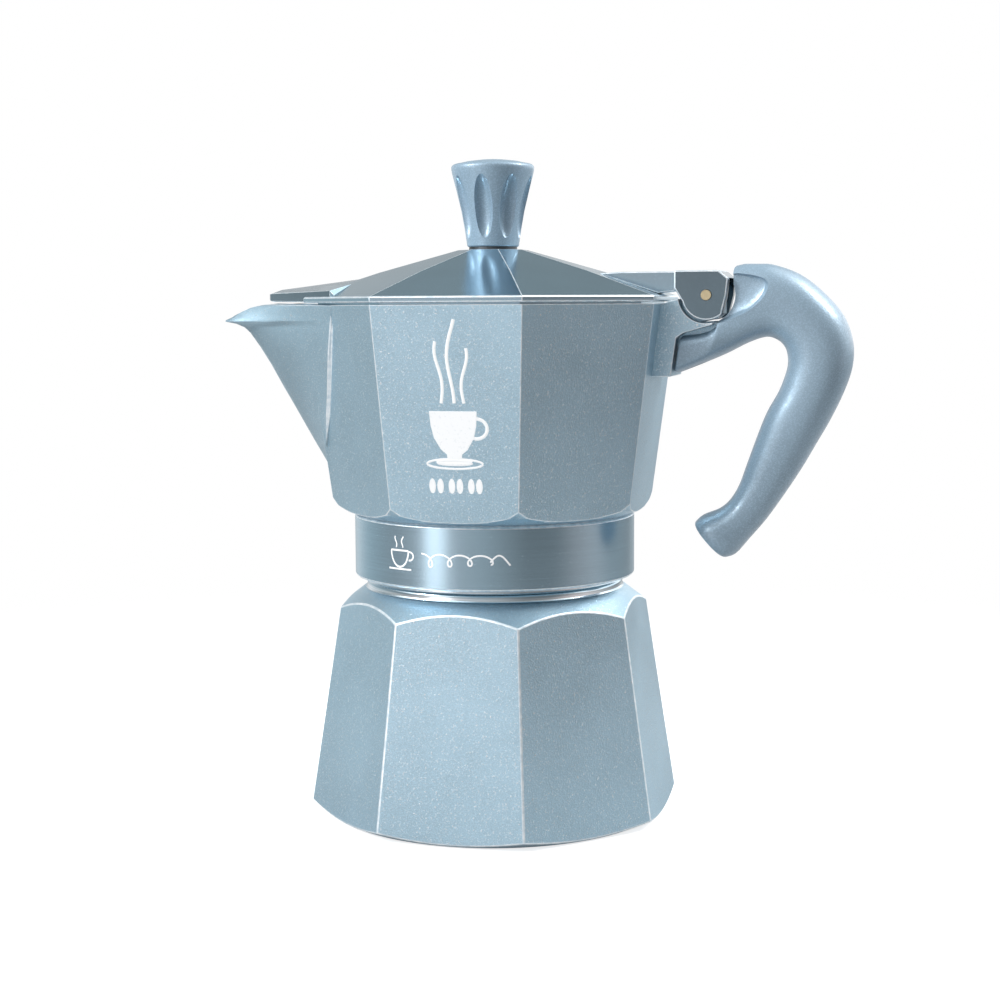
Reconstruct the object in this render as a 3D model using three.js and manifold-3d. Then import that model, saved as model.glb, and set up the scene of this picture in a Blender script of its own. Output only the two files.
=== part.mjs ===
// A stovetop moka pot: octagonal boiler, screw-on collector with spout and handle, hinged lid.
// Millimetres, +Z up. The origin is on the pot's axis at its base, the handle points to +X,
// and the spout points to -X.
import * as THREE from 'three';
import { mergeVertices } from 'three/addons/utils/BufferGeometryUtils.js';
import { ConvexGeometry } from 'three/addons/geometries/ConvexGeometry.js';
import Module from 'manifold-3d';

const wasm = await Module();
wasm.setup();

// ---- Driving dimensions ------------------------------------------------------------------

const ROUND = 40;                    // sides of the large round parts
const OCTAGON_TURN = Math.PI / 8;    // puts flats, not corners, on the X and Y axes

// Boiler: corner radii of its tapered octagon, then its round neck.
const BOILER = { lowR: 46.2, lowZ: 2.2, highR: 38.6, highZ: 50.6, wall: 3.1, floor: 3 };
const NECK = { r: 31.3, shoulderR: 31.75, shoulderZ: 55.8, top: 66, bore: 28.5 };

// Safety valve, on the boiler's +Y face.
const VALVE = { z: 40, bossR: 7.2, bossY: 38.8, shankR: 4, boreR: 2.6, stemR: 0.8 };

// Funnel: a coffee basket that hangs in the neck, with a stem that reaches down into the water.
const FUNNEL = { flangeR: 30.4, cupR: 28, cupZ: 46, stemR: 4.4, stemBottom: 8, sheet: 0.9 };

// Collector: tapered octagon above a round threaded collar.
const COLLAR = { r: 34.65, low: 58.6, high: 73.9, bore: 32.6, bevel: 0.4 };
const CUP = { lowR: 40, lowZ: 77.4, rimR: 46.5, rimZ: 124.8, wall: 2.9, floor: 77 };
const COLUMN = { footR: 8, topR: 5.4, top: 113, boreR: 3.3 };

// Lid and the knob on top of it.
const LID = { low: 125.3, band: 1.3, kneeR: 28, kneeZ: 132.6, flatR: 8.6, top: 138, sheet: 2.1 };
const KNOB = { low: 138.8, flutes: 8, fluteTurn: -0.08, boreR: 2.95 };
const SCREW = { r: 1.85, hole: 2.1, headR: 3.3 };

// Lid hinge.
const PIN = { x: 53.6, z: 126.7, r: 1.2, bore: 1.3, reach: 8.6 };
const EAR = { inner: 4.9, outer: 8.1, r: 5.85, topZ: 132.5, barZ: 130.7, left: 46, right: 58.7 };
const KNUCKLE = { r: 3.6, half: 4.5 };
const RELIEF = { bracket: 6.6, handle: 6.6, bar: 6.15 };
const SCOOP = { floor: 6.3 };        // half width left between the handle's two side scoops
const TENON = { half: 4, low: 114.6, right: 57.4, gap: 0.3 };
const HANDLE_SCREW = { x: 50, seat: 112.6, r: 1.45, headR: 2.6, tip: 118.4 };

// Handle: stations from the front face to the foot, [outer x, outer z, inner x, inner z, half width].
const HANDLE = [
  [47.3, 117.2, 46.0, 108.2, 7.6],
  [56.2, 119.8, 52.6, 110.8, 8.4],
  [60.0, 133.2, 57.6, 112.9, 8.9],
  [65.5, 134.0, 62.6, 115.4, 9.0],
  [70.4, 133.2, 67.0, 116.8, 8.9],
  [75.6, 130.9, 69.8, 116.0, 8.8],
  [80.6, 126.8, 71.4, 114.4, 8.7],
  [85.0, 121.6, 72.0, 112.6, 8.6],
  [87.4, 115.6, 72.1, 110.4, 8.5],
  [87.3, 109.8, 71.5, 107.8, 8.4],
  [85.2, 103.8, 70.0, 103.9, 8.2],
  [82.1, 97.2, 67.2, 98.8, 8.0],
  [78.9, 91.5, 64.8, 92.6, 7.7],
  [75.6, 85.7, 62.6, 86.4, 7.3],
  [71.9, 79.9, 60.8, 81.4, 6.9],
  [67.4, 73.4, 58.6, 77.8, 6.7],
  [63.4, 68.6, 56.0, 75.6, 7.2],
  [60.2, 64.9, 52.2, 74.0, 8.0],
  [57.6, 63.9, 50.2, 72.2, 7.2],
];

// ---- Geometry helpers ----------------------------------------------------------------------

const linear = (x0, y0, x1, y1) => (x) => y0 + ((y1 - y0) * (x - x0)) / (x1 - x0);
const boilerR = linear(BOILER.lowZ, BOILER.lowR, BOILER.highZ, BOILER.highR);
const cupR = linear(CUP.lowZ, CUP.lowR, CUP.rimZ, CUP.rimR);

// A closed three.js geometry as a solid that can be joined and cut.
function solid(geometry) {
  const bare = geometry.clone();
  bare.deleteAttribute('normal');
  bare.deleteAttribute('uv');
  const merged = mergeVertices(bare, 1e-4);
  const index = merged.index.array;
  const corners = [];
  for (let i = 0; i < index.length; i += 3) {
    const [a, b, c] = [index[i], index[i + 1], index[i + 2]];
    if (a !== b && b !== c && c !== a) corners.push(a, b, c);
  }
  const vertProperties = new Float32Array(merged.attributes.position.array);
  const triVerts = new Uint32Array(corners);
  return new wasm.Manifold(new wasm.Mesh({ numProp: 3, vertProperties, triVerts }));
}

// Back from a solid to a geometry.
function geometryOf(shape) {
  const { vertProperties, triVerts } = shape.getMesh();
  const geometry = new THREE.BufferGeometry();
  geometry.setAttribute('position', new THREE.BufferAttribute(vertProperties, 3));
  geometry.setIndex(new THREE.BufferAttribute(triVerts, 1));
  geometry.computeVertexNormals();
  return geometry;
}

// A profile of [radius, z] points turned about the Z axis.
function turned(profile, sides = ROUND, start = 0) {
  const points = profile.map(([r, z]) => new THREE.Vector2(r, z));
  return solid(new THREE.LatheGeometry(points, sides, start).rotateX(Math.PI / 2));
}

// The same with eight flat sides; radii are those of the corners.
const octagonal = (profile) => turned(profile, 8, OCTAGON_TURN);

// A rod along Z, Y or X, from one end to the other.
function rod(axis, r, from, to, [u, v] = [0, 0], sides = 24) {
  const length = to - from;
  const middle = (from + to) / 2;
  const geometry = new THREE.CylinderGeometry(r, r, length, sides);
  if (axis === 'x') geometry.rotateZ(-Math.PI / 2).translate(middle, u, v);
  if (axis === 'y') geometry.translate(u, middle, v);
  if (axis === 'z') geometry.rotateX(Math.PI / 2).translate(u, v, middle);
  return solid(geometry);
}

function block([x0, x1], [y0, y1], [z0, z1]) {
  const geometry = new THREE.BoxGeometry(x1 - x0, y1 - y0, z1 - z0);
  return solid(geometry.translate((x0 + x1) / 2, (y0 + y1) / 2, (z0 + z1) / 2));
}

// An outline in the XZ plane, given as a THREE.Shape, made thick along Y.
function plate(shape, y0, y1, curveSegments = 10) {
  const geometry = new THREE.ExtrudeGeometry(shape, { depth: y1 - y0, bevelEnabled: false, curveSegments });
  return solid(geometry.rotateX(Math.PI / 2).translate(0, y1, 0));
}

function outline(points) {
  return new THREE.Shape(points.map(([x, z]) => new THREE.Vector2(x, z)));
}

// The smallest convex solid around [x, y, z] points, each also mirrored in the XZ plane.
function mirroredHull(points) {
  const corners = [];
  for (const [x, y, z] of points) {
    corners.push(new THREE.Vector3(x, y, z));
    if (y !== 0) corners.push(new THREE.Vector3(x, -y, z));
  }
  return solid(new ConvexGeometry(corners));
}

const join = (first, ...others) => others.reduce((sum, next) => sum.add(next), first);
const cut = (first, ...others) => others.reduce((rest, next) => rest.subtract(next), first);

// ---- Boiler and its safety valve -----------------------------------------------------------

function boiler() {
  const outside = octagonal([[0, 0], [boilerR(0), 0], [boilerR(NECK.top), NECK.top], [0, NECK.top]]);
  const trim = turned([
    [0, 0], [40.8, 0], [43.6, 0.8], [BOILER.lowR, BOILER.lowZ], [50, 5], [50, 40],
    [39.6, 49.2], [BOILER.highR, BOILER.highZ],
    [NECK.shoulderR, NECK.shoulderZ], [NECK.shoulderR, 57.2], [NECK.r, 57.7],
    [NECK.r, NECK.top - 0.6], [NECK.r - 0.6, NECK.top], [0, NECK.top],
  ]);
  const innerR = (z) => boilerR(z) - BOILER.wall;
  const above = NECK.top + 1;
  const room = octagonal([[0, BOILER.floor], [innerR(BOILER.floor), BOILER.floor], [innerR(above), above], [0, above]]);
  const roomTrim = turned([
    [0, BOILER.floor], [37.5, BOILER.floor], [40.6, 4.2], [43, 8], [43, 40], [36.6, 48.2],
    [NECK.bore, 54.2], [NECK.bore, above], [0, above],
  ]);
  const boss = rod('y', VALVE.bossR, 34.5, VALVE.bossY, [0, VALVE.z]);
  const valveHole = rod('y', VALVE.shankR + 0.1, 20, 50, [0, VALVE.z]);
  return cut(join(outside.intersect(trim), boss), room.intersect(roomTrim), valveHole);
}

// The brass body: a hexagon outside the wall, a shank through it, and a chamber for the spring.
function valveBody() {
  const at = [0, VALVE.z];
  const seatY = VALVE.bossY + 0.8;
  const hexagon = rod('y', 5.8, seatY, seatY + 4, at, 6);
  const nose = rod('y', 3.9, seatY + 3.9, seatY + 6.6, at);
  const shank = rod('y', VALVE.shankR, 32.4, seatY + 0.1, at);
  const chamber = rod('y', VALVE.boreR, 32, seatY + 5.2, at, 20);
  const guide = rod('y', VALVE.stemR + 0.15, 32, 50, at, 16);
  const vent = rod('x', 0.8, -6, 6, [seatY + 4.6, VALVE.z], 10);
  return cut(join(hexagon, nose, shank), chamber, guide, vent);
}

const valveWasher = () => cut(
  rod('y', 6.4, VALVE.bossY + 0.1, VALVE.bossY + 0.7, [0, VALVE.z], 32),
  rod('y', VALVE.shankR + 0.15, VALVE.bossY - 1, VALVE.bossY + 2, [0, VALVE.z]),
);

// The ring in the chamber's inner end, which the plunger's disc closes.
const valveSeat = () => cut(
  rod('y', VALVE.boreR - 0.05, 32.6, 33.8, [0, VALVE.z], 20),
  rod('y', 1.4, 30, 35, [0, VALVE.z], 16),
);

const valvePlunger = () => join(
  rod('y', 2.1, 33.9, 35, [0, VALVE.z], 20),
  rod('y', VALVE.stemR, 34.9, 47.4, [0, VALVE.z], 16),
);

// A coil between the plunger's disc and the chamber's outer end.
function valveSpring() {
  const turns = 5;
  const coilR = 1.75;
  const wireR = 0.28;
  const [from, to] = [35.4, 44.4];
  class Coil extends THREE.Curve {
    getPoint(t) {
      const angle = t * turns * 2 * Math.PI;
      return new THREE.Vector3(coilR * Math.cos(angle), from + (to - from) * t, VALVE.z + coilR * Math.sin(angle));
    }
  }
  const section = new THREE.Shape().absarc(0, 0, wireR, 0, 2 * Math.PI);
  return solid(new THREE.ExtrudeGeometry(section, { extrudePath: new Coil(), steps: turns * 10, curveSegments: 3 }));
}

// ---- Funnel, gasket and filter -------------------------------------------------------------

function funnelBasket() {
  const s = FUNNEL.sheet;
  const seat = NECK.top + 0.1;
  const lip = seat + s;
  return turned([
    [FUNNEL.stemR, FUNNEL.stemBottom], [FUNNEL.stemR, 38], [7, 41.5], [13, 43.4],
    [FUNNEL.cupR - 2.4, 44.6], [FUNNEL.cupR - 0.6, FUNNEL.cupZ], [FUNNEL.cupR, 48], [FUNNEL.cupR, seat],
    [FUNNEL.flangeR, seat], [FUNNEL.flangeR, lip], [FUNNEL.cupR - s, lip], [FUNNEL.cupR - s, FUNNEL.cupZ + 0.8],
    [FUNNEL.cupR - 3.4, FUNNEL.cupZ + 0.8], [FUNNEL.cupR - 3.4, FUNNEL.cupZ - 0.4], [13, 44.5], [6.4, 42.4],
    [FUNNEL.stemR - s, 38.4], [FUNNEL.stemR - s, FUNNEL.stemBottom], [FUNNEL.stemR, FUNNEL.stemBottom],
  ]);
}

// A thin disc with rings of holes; each ring is [radius, number of holes].
function perforatedDisc(r, z0, z1, rings, holeR, sides) {
  const holes = [];
  for (const [ringR, count] of rings) {
    for (let i = 0; i < count; i++) {
      const angle = (2 * Math.PI * i) / count;
      const at = [ringR * Math.cos(angle), ringR * Math.sin(angle)];
      holes.push(rod('z', holeR, z0 - 1, z1 + 1, at, sides));
    }
  }
  return cut(rod('z', r, z0, z1, [0, 0], ROUND), ...holes);
}

const funnelSieve = () => perforatedDisc(
  FUNNEL.cupR - FUNNEL.sheet - 0.3, FUNNEL.cupZ + 1, FUNNEL.cupZ + 1.8, [[0, 1], [9, 6], [18, 12]], 0.9, 6,
);

const filterPlate = () => perforatedDisc(27.7, 70.3, 70.9, [[0, 1], [9, 6], [18, 12]], 0.9, 6);

const gasket = () => turned([[26.4, 67.2], [32.1, 67.2], [32.1, 70], [26.4, 70], [26.4, 67.2]]);

// ---- Collector -----------------------------------------------------------------------------

// The V-shaped spout: its sides carry on the two neighbouring faces and meet at a front ridge.
const spoutBody = () => mirroredHull([
  [-31.9, 28.8, 124.8], [-38.2, 15.8, 89], [-35.5, 6, 77], [-35.8, 1, 75.6], [-36.2, 0, 76.2], [-34, 15, 90],
  [-38, 0, 77.6], [-60.6, 0, 113], [-60, 1.4, 113], [-64, 0, 118.1], [-63.4, 1.6, 118.3],
  [-61.6, 2.2, 124.8], [-64.6, 0.9, 124.2], [-30, 24, 124.8], [-30, 24, 115],
]);

// The pouring lip at the top of the ridge.
const spoutLip = () => mirroredHull([
  [-60, 3.4, 124.6], [-60, 2.6, 119], [-63.6, 1.2, 118.2], [-65.4, 1.3, 119.3], [-68, 1.2, 120.4],
  [-71.1, 0.7, 120.8], [-69.1, 1.5, 121.8], [-65.5, 2.4, 124.2],
]);

// The channel that the coffee runs through to the lip.
const spoutChannel = () => join(
  mirroredHull([
    [-28, 22, 126], [-33, 23.2, 126], [-35, 12, 92], [-33, 0, 83], [-30, 10, 90],
    [-60.2, 0.4, 119.4], [-59.4, 1.4, 126],
  ]),
  mirroredHull([[-57, 1.6, 126], [-57, 1.2, 121], [-62, 0.6, 121], [-70, 0.5, 122.2], [-72, 0.8, 126]]),
);

// The cast bracket on the +X face: a pad for the handle, a tenon inside it and the hinge knuckle.
function bracket() {
  const pad = new THREE.Shape();
  const arcFrom = Math.asin((120.3 - PIN.z) / RELIEF.bracket);
  const arcTo = -Math.PI - Math.asin((125.9 - PIN.z) / RELIEF.bracket);
  pad.moveTo(39, 107.5);
  pad.lineTo(45.3, 107.5);
  pad.lineTo(46.6, 116.7);
  pad.lineTo(48.2, 117.8);
  pad.lineTo(55.2, 119.8);
  pad.absarc(PIN.x, PIN.z, RELIEF.bracket, arcFrom, arcTo, true);
  pad.lineTo(44.4, 125.2);
  pad.lineTo(42.6, 124.3);
  pad.lineTo(39, 124.3);
  const web = outline([[47, 119.4], [55.4, 121.2], [56.9, 122.4], [57, 126], [50.2, 126], [46.8, 124.3]]);
  const tenon = outline([
    [44, TENON.low], [TENON.right, TENON.low], [TENON.right, 119], [55, 121], [44, 120],
  ]);
  return join(
    plate(pad, -8.1, 8.1),
    plate(web, -KNUCKLE.half, KNUCKLE.half),
    plate(tenon, -TENON.half, TENON.half),
    rod('y', KNUCKLE.r, -KNUCKLE.half, KNUCKLE.half, [PIN.x, PIN.z], 28),
  );
}

function collector() {
  const outside = octagonal([[0, 71], [cupR(71), 71], [CUP.rimR, CUP.rimZ], [0, CUP.rimZ]]);
  const trim = turned([
    [0, 71], [33.6, 71], [34.3, 73.8], [37, 74.9], [39.4, 76.6], [40.9, 80.6],
    [70, 95], [70, CUP.rimZ], [0, CUP.rimZ],
  ]);
  const collar = turned([
    [0, COLLAR.low], [COLLAR.r - COLLAR.bevel, COLLAR.low], [COLLAR.r, COLLAR.low + COLLAR.bevel],
    [COLLAR.r, COLLAR.high - COLLAR.bevel], [COLLAR.r - COLLAR.bevel, COLLAR.high], [0, COLLAR.high],
  ]);
  const innerR = (z) => cupR(z) - CUP.wall;
  const above = CUP.rimZ + 1;
  const room = octagonal([[0, CUP.floor], [innerR(CUP.floor), CUP.floor], [innerR(above), above], [0, above]]);
  const roomTrim = turned([[0, CUP.floor], [33.2, CUP.floor], [35, 78], [39, 83], [60, 100], [60, above], [0, above]]);
  const boss = turned([[0, 76], [10.2, 76], [10.2, 77.6], [9.6, 78.2], [0, 78.2]], 32);
  const underside = turned([
    [0, 57], [33, 57], [COLLAR.bore, 59.6], [COLLAR.bore, 70.1], [28, 70.1], [28, 71.1],
    [25.6, 71.1], [9.5, 73.6], [0, 73.6],
  ]);
  const columnSeat = rod('z', 6.6, 73, 80, [0, 0], 32);
  const shell = join(outside.intersect(trim), collar, spoutBody(), spoutLip(), bracket());
  const hollow = cut(shell, room.intersect(roomTrim), spoutChannel(), underside);
  return cut(
    join(hollow, boss),
    columnSeat,
    rod('y', PIN.bore, -12, 12, [PIN.x, PIN.z], 20),
    rod('z', HANDLE_SCREW.r + 0.1, 110, HANDLE_SCREW.tip + 0.3, [HANDLE_SCREW.x, 0], 16),
  );
}

// The tapered tube that the coffee rises through, with two outlets under its closed top.
function column() {
  const tube = turned([
    [0, 73.8], [6.3, 73.8], [6.3, 78.4], [COLUMN.footR, 78.4], [COLUMN.footR, 79.6], [7.2, 82],
    [COLUMN.topR, COLUMN.top - 2.4], [COLUMN.topR - 1, COLUMN.top - 0.6], [0, COLUMN.top],
  ], 32);
  const bore = rod('z', COLUMN.boreR, 70, COLUMN.top - 2.6, [0, 0], 24);
  const outlets = block([-9, 9], [-1.6, 1.6], [COLUMN.top - 8, COLUMN.top - 3]);
  return cut(tube, bore, outlets);
}

// ---- Handle --------------------------------------------------------------------------------

// A cylinder whose rings are moved to the handle's stations, each made a full oval.
function handleBar() {
  const last = HANDLE.length - 1;
  const fuller = (value) => Math.sign(value) * Math.abs(value) ** 0.8;
  const geometry = new THREE.CylinderGeometry(1, 1, last, 16, last);
  const position = geometry.attributes.position;
  for (let i = 0; i < position.count; i++) {
    const ring = Math.round(last / 2 - position.getY(i));
    const [outerX, outerZ, innerX, innerZ, halfWidth] = HANDLE[ring];
    const along = fuller(position.getX(i));
    const across = -fuller(position.getZ(i));
    const x = (outerX + innerX + (outerX - innerX) * along) / 2;
    const z = (outerZ + innerZ + (outerZ - innerZ) * along) / 2;
    position.setXYZ(i, x, halfWidth * across, z);
  }
  return solid(geometry);
}

// The dished place in each side of the handle, open towards the hinge.
function handleScoop(y0, y1) {
  const edge = new THREE.Shape();
  edge.moveTo(50, 131.8);
  edge.lineTo(61.8, 131.8);
  edge.splineThru([
    new THREE.Vector2(65.3, 131.2), new THREE.Vector2(67.6, 130.2), new THREE.Vector2(68.1, 128.6),
    new THREE.Vector2(66.6, 125.8), new THREE.Vector2(63.4, 123), new THREE.Vector2(57.9, 120.4),
  ]);
  edge.lineTo(50, 118.9);
  return plate(edge, y0, y1, 2);
}

// The bar, with its scoops, the tenon's pocket, the hinge's clearance and the screw's stepped hole.
function handle() {
  const side = TENON.half + TENON.gap;
  return cut(
    handleBar(),
    handleScoop(SCOOP.floor, 12),
    handleScoop(-12, -SCOOP.floor),
    block([44, TENON.right + TENON.gap], [-side, side], [TENON.low - TENON.gap, 124]),
    rod('y', RELIEF.handle, -12, 12, [PIN.x, PIN.z], 40),
    block([PIN.x, PIN.x + RELIEF.bar], [-12, 12], [PIN.z + 2.4, PIN.z + 12]),
    rod('z', HANDLE_SCREW.r + 0.2, 105, 116, [HANDLE_SCREW.x, 0], 16),
    rod('z', HANDLE_SCREW.headR + 0.2, 100, HANDLE_SCREW.seat, [HANDLE_SCREW.x, 0], 20),
  );
}

// Recessed-cross pan screw that comes up through the handle into the tenon.
function handleScrew() {
  const { x, seat, r, headR, tip } = HANDLE_SCREW;
  const low = seat - 1.7;
  return cut(
    join(rod('z', headR, low, seat - 0.1, [x, 0], 20), rod('z', r, seat - 0.2, tip, [x, 0], 16)),
    block([x - 1.7, x + 1.7], [-0.35, 0.35], [low - 1, low + 0.8]),
    block([x - 0.35, x + 0.35], [-1.7, 1.7], [low - 1, low + 0.8]),
  );
}

// ---- Lid, hinge and knob -------------------------------------------------------------------

function lid() {
  const bandTop = LID.low + LID.band;
  const roof = octagonal([
    [0, LID.low], [CUP.rimR - 0.2, LID.low], [CUP.rimR, LID.low + 0.3], [CUP.rimR, bandTop],
    [LID.kneeR, LID.kneeZ], [LID.flatR, LID.top], [0, LID.top],
  ]);
  const hollow = octagonal([
    [0, LID.low - 1], [43.2, LID.low - 1], [43.2, LID.low + 0.4], [LID.kneeR, LID.kneeZ - LID.sheet],
    [13, 134.6], [0, 134.6],
  ]);
  const spoutCover = mirroredHull([
    [-58.2, 1.2, 125.8], [-58.2, 1.2, 127.2], [-56.4, 3.8, 125.6], [-56.4, 3.6, 127.4], [-56, 0, 128.4],
    [-32.6, 27.6, 125.4], [-32.8, 27.2, 128.1], [-34.8, 0, 131.1], [-30, 12, 130.6], [-28, 0, 132],
    [-28, 12, 126.3], [-30, 27, 125.4],
  ]);
  const coverHollow = mirroredHull([
    [-54.6, 1, 125], [-54.6, 1, 126.6], [-53, 3, 125], [-53, 2.4, 126.6],
    [-40, 13.4, 125], [-40, 12.4, 127.2], [-29, 7, 129.6], [-29, 0, 129.9], [-27, 11, 125],
  ]);
  const tongue = outline([[26, 132], [33, 132.35], [47, 132.35], [47, 127.7], [41.6, 127.2], [30, 131]]);
  const bar = outline([
    [EAR.left, EAR.barZ], [EAR.right - 0.1, EAR.barZ], [56.4, EAR.topZ], [EAR.left, EAR.topZ],
  ]);
  const ear = new THREE.Shape();
  ear.moveTo(EAR.left, EAR.topZ);
  ear.lineTo(EAR.left, 128.4);
  ear.absarc(PIN.x, PIN.z, EAR.r, 3.4, 5.37, false);
  ear.lineTo(58.3, 126.7);
  ear.lineTo(EAR.right, 130.6);
  ear.lineTo(56.4, EAR.topZ);
  return cut(
    join(
      cut(join(roof, spoutCover), hollow, coverHollow),
      plate(tongue, -4.3, 4.3),
      plate(bar, -EAR.outer, EAR.outer),
      plate(ear, -EAR.outer, -EAR.inner),
      plate(ear, EAR.inner, EAR.outer),
    ),
    rod('y', PIN.bore, -12, 12, [PIN.x, PIN.z], 20),
    rod('z', SCREW.hole, 130, 140, [0, 0], 20),
  );
}

const hingePin = () => rod('y', PIN.r, -PIN.reach, PIN.reach, [PIN.x, PIN.z], 20);

function lidKnob() {
  const body = turned([
    [0, KNOB.low], [6, KNOB.low], [6.4, 139.4], [6.9, 143], [7.7, 147.5], [8.9, 152.5], [9.9, 156.4],
    [10.1, 157.6], [9.6, 158.8], [8, 159.4], [0, 159.9],
  ], 32);
  const flutes = [];
  for (let i = 0; i < KNOB.flutes; i++) {
    const scoop = new THREE.SphereGeometry(1, 10, 6).rotateX(Math.PI / 2).scale(3, 2.7, 8.2);
    scoop.rotateY(0.22).translate(9.3, 0, 149.6);
    flutes.push(solid(scoop.rotateZ((2 * Math.PI * i) / KNOB.flutes + KNOB.fluteTurn)));
  }
  return cut(body, ...flutes, rod('z', KNOB.boreR, 130, 152.4, [0, 0], 20));
}

const knobInsert = () => cut(
  rod('z', KNOB.boreR - 0.1, 139, 151.6, [0, 0], 20),
  rod('z', SCREW.r + 0.1, 138, 149.4, [0, 0], 20),
);

const knobWasher = () => cut(
  rod('z', 5.9, LID.top + 0.05, KNOB.low - 0.05, [0, 0], 32),
  rod('z', SCREW.hole, 136, 141, [0, 0], 20),
);

// Slotted screw that holds the knob from under the lid.
const knobScrew = () => cut(
  join(rod('z', SCREW.headR, 132.4, 134.5, [0, 0], 24), rod('z', SCREW.r, 134.4, 148.6, [0, 0], 20)),
  block([-4, 4], [-0.45, 0.45], [131, 133.3]),
);

// ---- The pot -------------------------------------------------------------------------------

const aluminium = { color: 0x9db4c2, roughness: 0.34, metalness: 0.9 };
const bareAluminium = { color: 0xc3c8cb, roughness: 0.4, metalness: 1 };
const enamelled = { color: 0xa9bccb, roughness: 0.35, metalness: 0.35 };
const brass = { color: 0xcdb77a, roughness: 0.35, metalness: 1 };
const steel = { color: 0xb4b8bb, roughness: 0.3, metalness: 1 };
const rubber = { color: 0xe6e3dc, roughness: 0.8, metalness: 0 };

const pieces = {
  boiler: [boiler, aluminium],
  valve_body: [valveBody, brass],
  valve_washer: [valveWasher, steel],
  valve_seat: [valveSeat, brass],
  valve_plunger: [valvePlunger, steel],
  valve_spring: [valveSpring, steel],
  funnel_basket: [funnelBasket, bareAluminium],
  funnel_sieve: [funnelSieve, bareAluminium],
  gasket: [gasket, rubber],
  filter_plate: [filterPlate, bareAluminium],
  collector: [collector, aluminium],
  column: [column, bareAluminium],
  handle: [handle, enamelled],
  handle_screw: [handleScrew, steel],
  lid: [lid, aluminium],
  hinge_pin: [hingePin, brass],
  knob_washer: [knobWasher, steel],
  knob_screw: [knobScrew, steel],
  knob_insert: [knobInsert, brass],
  lid_knob: [lidKnob, enamelled],
};

const pot = new THREE.Group();
for (const [name, [shape, look]] of Object.entries(pieces)) {
  const mesh = new THREE.Mesh(geometryOf(shape()), new THREE.MeshStandardMaterial(look));
  mesh.name = name;
  pot.add(mesh);
}

export default pot;
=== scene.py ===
"""Visual model of an octagonal moka pot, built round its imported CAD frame."""
import math

import bmesh
import bpy
from mathutils import Matrix, Vector


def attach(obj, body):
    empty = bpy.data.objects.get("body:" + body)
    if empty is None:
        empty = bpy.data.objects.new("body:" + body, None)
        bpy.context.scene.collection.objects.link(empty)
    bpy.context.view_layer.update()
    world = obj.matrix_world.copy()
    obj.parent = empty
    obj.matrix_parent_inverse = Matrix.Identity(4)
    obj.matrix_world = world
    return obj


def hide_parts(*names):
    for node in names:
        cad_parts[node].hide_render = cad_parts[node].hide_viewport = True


bl_info = {
    "name": "Moka Pot",
    "version": (1, 0, 0),
    "blender": (4, 5, 0),
    "location": "View3D > Sidebar > Moka Pot",
    "description": "Builds the shells, trim and finishes of an octagonal moka pot",
    "category": "Add Mesh",
}

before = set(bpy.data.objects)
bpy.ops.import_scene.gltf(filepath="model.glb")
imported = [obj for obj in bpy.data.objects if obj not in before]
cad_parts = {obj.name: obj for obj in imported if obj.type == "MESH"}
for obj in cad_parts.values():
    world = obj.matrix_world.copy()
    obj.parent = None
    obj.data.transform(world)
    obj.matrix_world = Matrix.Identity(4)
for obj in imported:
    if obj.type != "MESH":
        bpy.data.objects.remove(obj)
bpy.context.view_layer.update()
MM = 0.001
ROUND = 144                 # steps in a full turn of the large round shapes
FACES = 8                   # flat sides of the pot
FLAT = math.cos(math.pi / FACES)

# Millimetres, as the CAD frame has them: corner radius of each octagon at two heights.
BOILER_LOW, BOILER_HIGH, BOILER_WALL = (46.2, 2.2), (38.6, 50.6), 3.1
CUP_LOW, CUP_HIGH, CUP_WALL = (40.0, 77.4), (46.5, 124.8), 2.9
NECK_Z, COLLAR_TOP, RIM_Z = 55.3, 73.9, 124.8
LID_LOW, LID_TOP = 125.3, 138.0
PIN = (53.6, 126.7)
EAR_IN, EAR_OUT = 4.9, 8.1
VALVE_Z, BOSS_Y = 40.0, 38.8
CAMERA_BEARING = 14.52      # degrees from -Y towards +X
MAIN, BRIGHT, SECOND = 0, 1, 2      # a piece's materials: its own, painted highlight on rounded edges, another finish


# ---- Mesh tools --------------------------------------------------------------------------------

def outward(bm):
    """Turns every face's normal outwards."""
    bmesh.ops.recalc_face_normals(bm, faces=bm.faces)
    return bm


def spun(profile, steps=ROUND, turn=0.0):
    """A closed solid: a profile of (radius, height) points, in millimetres, spun about Z."""
    bm = bmesh.new()
    verts = [bm.verts.new((r * MM, 0, z * MM)) for r, z in profile]
    edges = [bm.edges.new(pair) for pair in zip(verts, verts[1:])]
    bmesh.ops.rotate(bm, verts=verts, cent=(0, 0, 0), matrix=Matrix.Rotation(turn, 3, "Z"))
    bmesh.ops.spin(bm, geom=verts + edges, cent=(0, 0, 0), axis=(0, 0, 1), angle=2 * math.pi,
                   steps=steps, use_merge=True)
    bmesh.ops.remove_doubles(bm, verts=bm.verts, dist=1e-6)
    return outward(bm)


def octagonal(profile):
    """The same with eight flat sides; radii are those of the corners."""
    return spun(profile, FACES, math.pi / FACES)


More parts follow.
